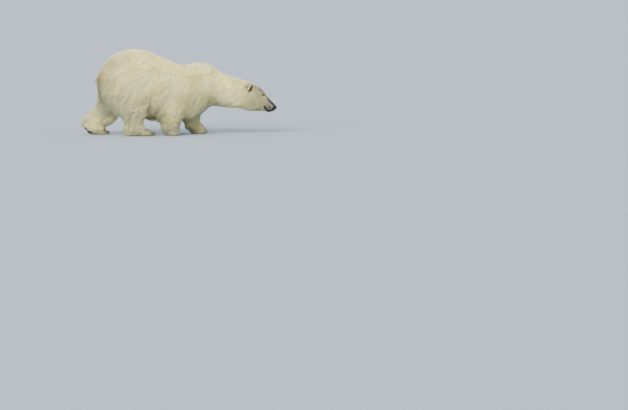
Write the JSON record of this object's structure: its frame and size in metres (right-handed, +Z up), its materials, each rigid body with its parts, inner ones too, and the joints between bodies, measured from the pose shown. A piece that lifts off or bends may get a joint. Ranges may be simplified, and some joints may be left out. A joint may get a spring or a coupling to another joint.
{
  "type": "polar bear",
  "caption": "Life-size polar bear walking with its head held low and its neck stretched out, with a thick cream coat, small round ears, dark eyes and a black nose.",
  "frame": {"origin": "on the floor under the middle of the bear's bounding box", "axes": "+X from the rump to the nose, +Y to the bear's left, +Z up"},
  "size_m": [2.2266, 0.6626, 0.9904],
  "materials": {
    "coat": "cream fur, matt",
    "tail_coat": "ochre-stained fur, matt",
    "black_skin": "black bare skin, slightly moist",
    "eye": "wet dark brown",
    "claw": "dark horn, satin"
  },
  "bodies": {
    "root": {"ear_left": "coat", "ear_right": "coat", "eye_left": "eye", "eye_right": "eye", "fore_left_claw_1": "claw", "fore_left_claw_2": "claw", "fore_left_claw_3": "claw", "fore_left_claw_4": "claw", "fore_left_claw_5": "claw", "fore_left_forearm": "coat", "fore_left_pads": "black_skin", "fore_left_paw": "coat", "fore_left_upper_arm": "coat", "fore_right_claw_1": "claw", "fore_right_claw_2": "claw", "fore_right_claw_3": "claw", "fore_right_claw_4": "claw", "fore_right_claw_5": "claw", "fore_right_forearm": "coat", "fore_right_pads": "black_skin", "fore_right_paw": "coat", "fore_right_upper_arm": "coat", "head": "coat", "hind_left_claw_1": "claw", "hind_left_claw_2": "claw", "hind_left_claw_3": "claw", "hind_left_claw_4": "claw", "hind_left_claw_5": "claw", "hind_left_heel_pad": "black_skin", "hind_left_pads": "black_skin", "hind_left_paw": "coat", "hind_left_shank": "coat", "hind_left_thigh": "coat", "hind_right_claw_1": "claw", "hind_right_claw_2": "claw", "hind_right_claw_3": "claw", "hind_right_claw_4": "claw", "hind_right_claw_5": "claw", "hind_right_pads": "black_skin", "hind_right_paw": "coat", "hind_right_shank": "coat", "hind_right_thigh": "coat", "lower_jaw": "coat", "neck": "coat", "nose": "black_skin", "tail": "tail_coat", "trunk": "coat"}
  },
  "joints": []
}
